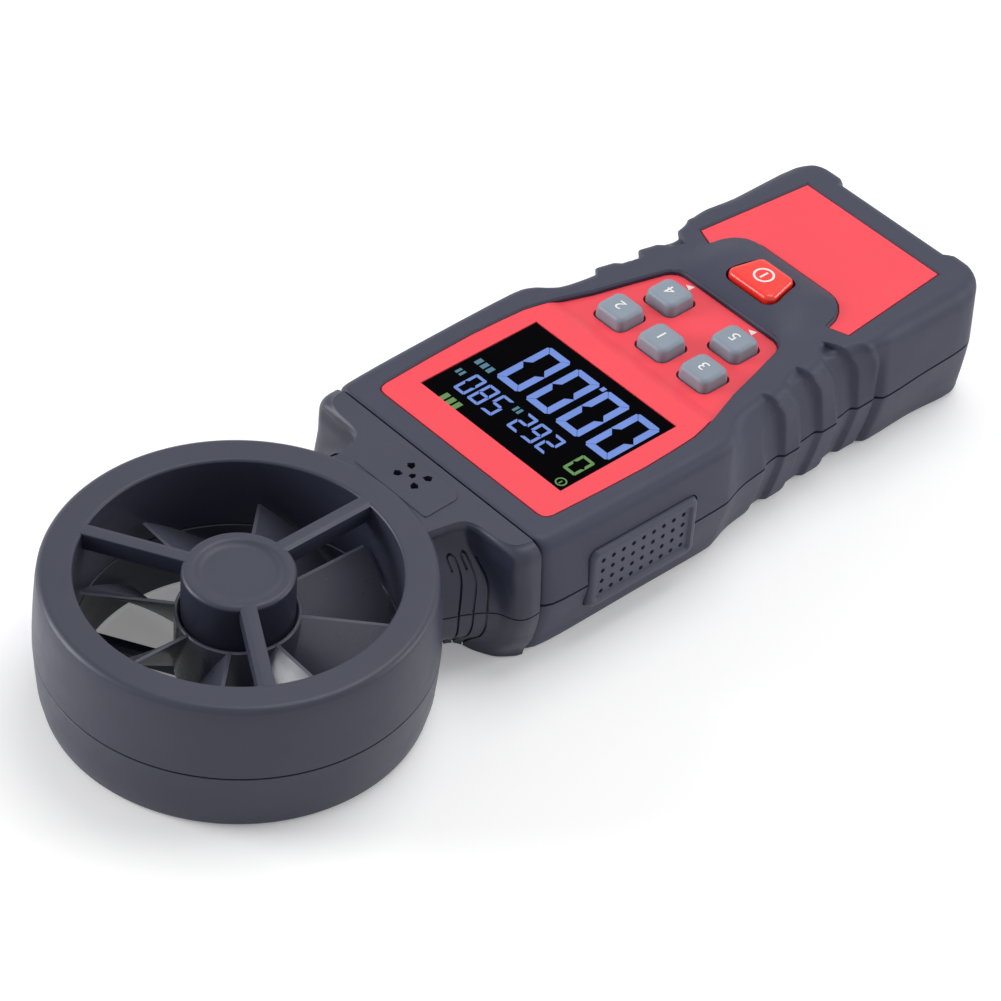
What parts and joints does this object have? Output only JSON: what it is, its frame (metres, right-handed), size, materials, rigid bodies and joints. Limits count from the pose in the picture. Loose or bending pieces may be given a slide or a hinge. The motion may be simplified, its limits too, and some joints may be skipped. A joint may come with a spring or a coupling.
{
  "type": "handheld weather meter",
  "caption": "Handheld digital vane anemometer: ring head with a turning vane wheel, red and dark grey grip case, colour display and rubber keys.",
  "frame": {"origin": "middle of the footprint, on the surface that the instrument lies on, with its display up", "axes": "+Z out of the display face, +Y along the instrument towards the vane head, +X across it"},
  "size_m": [0.07, 0.1956, 0.0301],
  "materials": {
    "red_shell": "moulded red shell, satin plates",
    "grip": "dark slate soft grip, fine matte texture",
    "grip_pad": "dark slate soft pad with a punched dot field",
    "dark_shell": "dark grey moulded shell, fine spark texture",
    "head": "dark slate moulded head, satin",
    "vane": "dark grey impeller, semi-gloss",
    "window": "black display lens, glossy",
    "lcd": "black display cell",
    "diffuser": "white light guide",
    "inner_frame": "black moulded frame",
    "circuit_board": "green solder mask",
    "connector": "natural nylon",
    "chip": "black moulded package",
    "socket_steel": "plated pressed steel",
    "switch_steel": "steel switch domes",
    "key_mat": "silicone mat",
    "key": "grey silicone key caps",
    "power_key": "bright red key, semi-gloss",
    "battery": "printed steel can",
    "contact": "nickel plated strip",
    "spring_steel": "plated spring wire",
    "brass": "turned brass",
    "screw_steel": "plated screws",
    "sensor": "white sensor package",
    "ribbon": "grey ribbon cable",
    "shaft_steel": "ground steel",
    "magnet": "bonded magnet"
  },
  "bodies": {
    "root": {"front_case": "red_shell", "front_grip": "grip", "rear_case": "dark_shell", "rear_grip": "grip", "side_pad_left": "grip_pad", "side_pad_right": "grip_pad", "display_window": "window", "lcd_panel": "lcd", "backlight": "diffuser", "lcd_frame": "inner_frame", "main_board": "circuit_board", "board_connector": "connector", "controller_chip": "chip", "buzzer": "chip", "usb_socket": "socket_steel", "key_switches": "switch_steel", "keypad_mat": "key_mat", "battery_1": "battery", "battery_2": "battery", "battery_3": "battery", "battery_contacts": "contact", "battery_springs": "spring_steel", "tripod_bush": "brass", "case_screws": "screw_steel", "board_screws": "screw_steel", "head_front": "head", "head_rear": "head", "head_screws": "screw_steel", "sensor_board": "circuit_board", "humidity_sensor": "sensor", "head_cable": "ribbon", "front_bearing": "brass", "rear_bearing": "brass", "pickup_board": "circuit_board"},
    "vane": {"vane_wheel": "vane", "vane_shaft": "shaft_steel", "rotor_magnet": "magnet"},
    "door": {"battery_door": "dark_shell"},
    "key_middle_body": {"key_middle": "key"},
    "key_head_right_body": {"key_head_right": "key"},
    "key_head_left_body": {"key_head_left": "key"},
    "key_tail_right_body": {"key_tail_right": "key"},
    "key_tail_left_body": {"key_tail_left": "key"},
    "power_key_body": {"power_key": "power_key"}
  },
  "joints": [
    {"name": "vane_spin", "type": "hinge", "parent": "root", "child": "vane", "pos_m": [0, 0.06275, 0.012], "axis": [0, 0, 1], "continuous": true},
    {"name": "key_middle_press", "type": "slide", "parent": "root", "child": "key_middle_body", "axis": [0, 0, -1], "range_m": [0, 0.001], "stiffness_N_per_m": 400},
    {"name": "key_head_right_press", "type": "slide", "parent": "root", "child": "key_head_right_body", "axis": [0, 0, -1], "range_m": [0, 0.001], "stiffness_N_per_m": 400},
    {"name": "key_head_left_press", "type": "slide", "parent": "root", "child": "key_head_left_body", "axis": [0, 0, -1], "range_m": [0, 0.001], "stiffness_N_per_m": 400},
    {"name": "key_tail_right_press", "type": "slide", "parent": "root", "child": "key_tail_right_body", "axis": [0, 0, -1], "range_m": [0, 0.001], "stiffness_N_per_m": 400},
    {"name": "key_tail_left_press", "type": "slide", "parent": "root", "child": "key_tail_left_body", "axis": [0, 0, -1], "range_m": [0, 0.001], "stiffness_N_per_m": 400},
    {"name": "power_key_press", "type": "slide", "parent": "root", "child": "power_key_body", "axis": [0, 0, -1], "range_m": [0, 0.001], "stiffness_N_per_m": 400},
    {"name": "door_swing", "type": "hinge", "parent": "root", "child": "door", "pos_m": [0, 0.0072, 0.0003], "axis": [1, 0, 0], "range_deg": [0, 60]}
  ]
}
